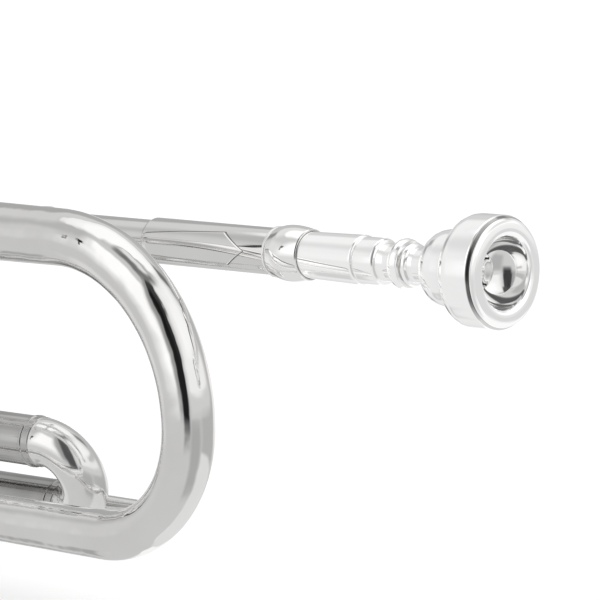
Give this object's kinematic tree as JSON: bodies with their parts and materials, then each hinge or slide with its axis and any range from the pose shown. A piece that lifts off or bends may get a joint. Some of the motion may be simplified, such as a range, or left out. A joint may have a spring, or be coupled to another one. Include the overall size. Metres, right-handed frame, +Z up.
{
  "type": "flugelhorn",
  "caption": "Silver-plated flugelhorn: wide conical bell, bows, three piston valves with finger buttons, pull slides, leadpipe and mouthpiece.",
  "frame": {"origin": "centre of the bell mouth, in the plane of the bell rim", "axes": "+X along the bell axis from the bell mouth towards the player, +Z up towards the finger buttons, +Y to the player's right"},
  "size_m": [0.47, 0.1558, 0.1773],
  "materials": {
    "silver_plate": "polished silver plate over brass",
    "nickel_piston": "lapped nickel alloy, faint vertical lapping marks",
    "spring_steel": "drawn spring wire",
    "pearl": "polished mother-of-pearl look",
    "black_felt": "pressed wool felt",
    "white_nylon": "moulded nylon",
    "cork": "natural cork",
    "steel_screw": "turned and plated steel"
  },
  "bodies": {
    "horn": {"tuning_sleeve": "silver_plate", "mouthpipe_branch": "silver_plate", "bell": "silver_plate", "bell_rim_wire": "silver_plate", "bell_ferrule": "silver_plate", "rear_bow": "silver_plate", "lower_branch": "silver_plate", "front_bow": "silver_plate", "front_branch": "silver_plate", "branch_ferrules": "silver_plate", "valve_1_casing": "silver_plate", "valve_2_casing": "silver_plate", "valve_3_casing": "silver_plate", "valve_crossovers": "silver_plate", "valve_guides": "white_nylon", "top_caps": "silver_plate", "top_cap_felts": "black_felt", "bottom_caps": "silver_plate", "first_slide_sleeves": "silver_plate", "second_slide_sleeves": "silver_plate", "third_slide_sleeves": "silver_plate", "bell_braces": "silver_plate", "lower_braces": "silver_plate", "leadpipe_brace": "silver_plate", "bow_stay": "silver_plate", "finger_hook": "silver_plate"},
    "leadpipe_pull": {"leadpipe": "silver_plate", "leadpipe_sleeve": "silver_plate", "spear_plate": "silver_plate", "mouthpiece_receiver": "silver_plate"},
    "mouthpiece_body": {"mouthpiece": "silver_plate"},
    "lock_screw": {"tuning_lock_screw": "steel_screw"},
    "valve_1": {"piston_1": "nickel_piston", "valve_spring_1": "spring_steel", "stem_1": "silver_plate", "pearl_1": "pearl", "stem_felt_1": "black_felt"},
    "valve_2": {"piston_2": "nickel_piston", "valve_spring_2": "spring_steel", "stem_2": "silver_plate", "pearl_2": "pearl", "stem_felt_2": "black_felt"},
    "valve_3": {"piston_3": "nickel_piston", "valve_spring_3": "spring_steel", "stem_3": "silver_plate", "pearl_3": "pearl", "stem_felt_3": "black_felt"},
    "first_slide": {"first_slide_tubes": "silver_plate", "first_slide_ferrules": "silver_plate", "first_slide_crook": "silver_plate"},
    "second_slide": {"second_slide_tubes": "silver_plate", "second_slide_crook": "silver_plate", "second_slide_knob": "silver_plate"},
    "third_slide": {"third_slide_tubes": "silver_plate", "third_slide_crook": "silver_plate", "third_slide_ring": "silver_plate", "water_key_saddle": "silver_plate", "water_key_screw": "steel_screw"},
    "water_key": {"water_key_lever": "silver_plate", "water_key_cork": "cork"}
  },
  "joints": [
    {"name": "leadpipe_tuning", "type": "slide", "parent": "horn", "child": "leadpipe_pull", "axis": [1, 0, 0], "range_m": [0, 0.01]},
    {"name": "mouthpiece_pull", "type": "slide", "parent": "leadpipe_pull", "child": "mouthpiece_body", "axis": [1, 0, 0], "range_m": [0, 0.025]},
    {"name": "lock_screw_turn", "type": "hinge", "parent": "horn", "child": "lock_screw", "pos_m": [0.302, 0.037, -0.00256], "axis": [0, 1, 0], "range_deg": [0, 180]},
    {"name": "valve_1_press", "type": "slide", "parent": "horn", "child": "valve_1", "axis": [0, 0, -1], "range_m": [0, 0.0165], "stiffness_N_per_m": 120, "springref_m": -0.012, "deforming": ["valve_spring_1"]},
    {"name": "valve_2_press", "type": "slide", "parent": "horn", "child": "valve_2", "axis": [0, 0, -1], "range_m": [0, 0.0165], "stiffness_N_per_m": 120, "springref_m": -0.012, "deforming": ["valve_spring_2"]},
    {"name": "valve_3_press", "type": "slide", "parent": "horn", "child": "valve_3", "axis": [0, 0, -1], "range_m": [0, 0.0165], "stiffness_N_per_m": 120, "springref_m": -0.012, "deforming": ["valve_spring_3"]},
    {"name": "first_slide_pull", "type": "slide", "parent": "horn", "child": "first_slide", "axis": [1, 0, 0], "range_m": [0, 0.008]},
    {"name": "second_slide_pull", "type": "slide", "parent": "horn", "child": "second_slide", "axis": [0, 1, 0], "range_m": [0, 0.008]},
    {"name": "third_slide_pull", "type": "slide", "parent": "horn", "child": "third_slide", "axis": [-1, 0, 0], "range_m": [0, 0.03]},
    {"name": "water_key_press", "type": "hinge", "parent": "third_slide", "child": "water_key", "pos_m": [0.088, 0.0385, -0.0825], "axis": [0, 1, 0], "range_deg": [-11, 0], "stiffness_Nm_per_rad": 0.02, "springref_deg": 11.46}
  ]
}
